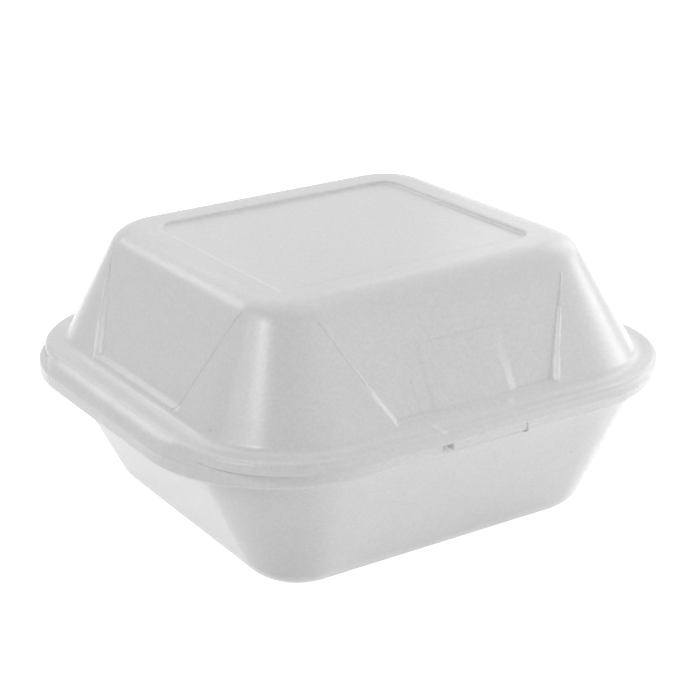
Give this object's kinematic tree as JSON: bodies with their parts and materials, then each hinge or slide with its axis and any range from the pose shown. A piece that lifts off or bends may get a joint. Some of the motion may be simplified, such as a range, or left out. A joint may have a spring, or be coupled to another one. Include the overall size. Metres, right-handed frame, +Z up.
{
  "type": "foam clamshell container",
  "caption": "Square hinged food container pressed from foam sheet: a tray with a thick rolled rim and a domed lid with a sunken top, pressed side panels and a front lock tab.",
  "frame": {"origin": "middle of the tray's floor, on the table it rests on", "axes": "+Z up, -Y to the front with the lock tab, +Y to the hinge at the back, +X to the right seen from the front"},
  "size_m": [0.1468, 0.1418, 0.0762],
  "materials": {
    "foam": "satin white expanded polystyrene foam with a fine bead grain"
  },
  "bodies": {
    "tray": {"base_tray": "foam"},
    "cover": {"lid": "foam"}
  },
  "joints": [
    {"name": "lid_hinge", "type": "hinge", "parent": "tray", "child": "cover", "pos_m": [0, 0.0694, 0.0418], "axis": [-1, 0, 0], "range_deg": [0, 180]}
  ]
}
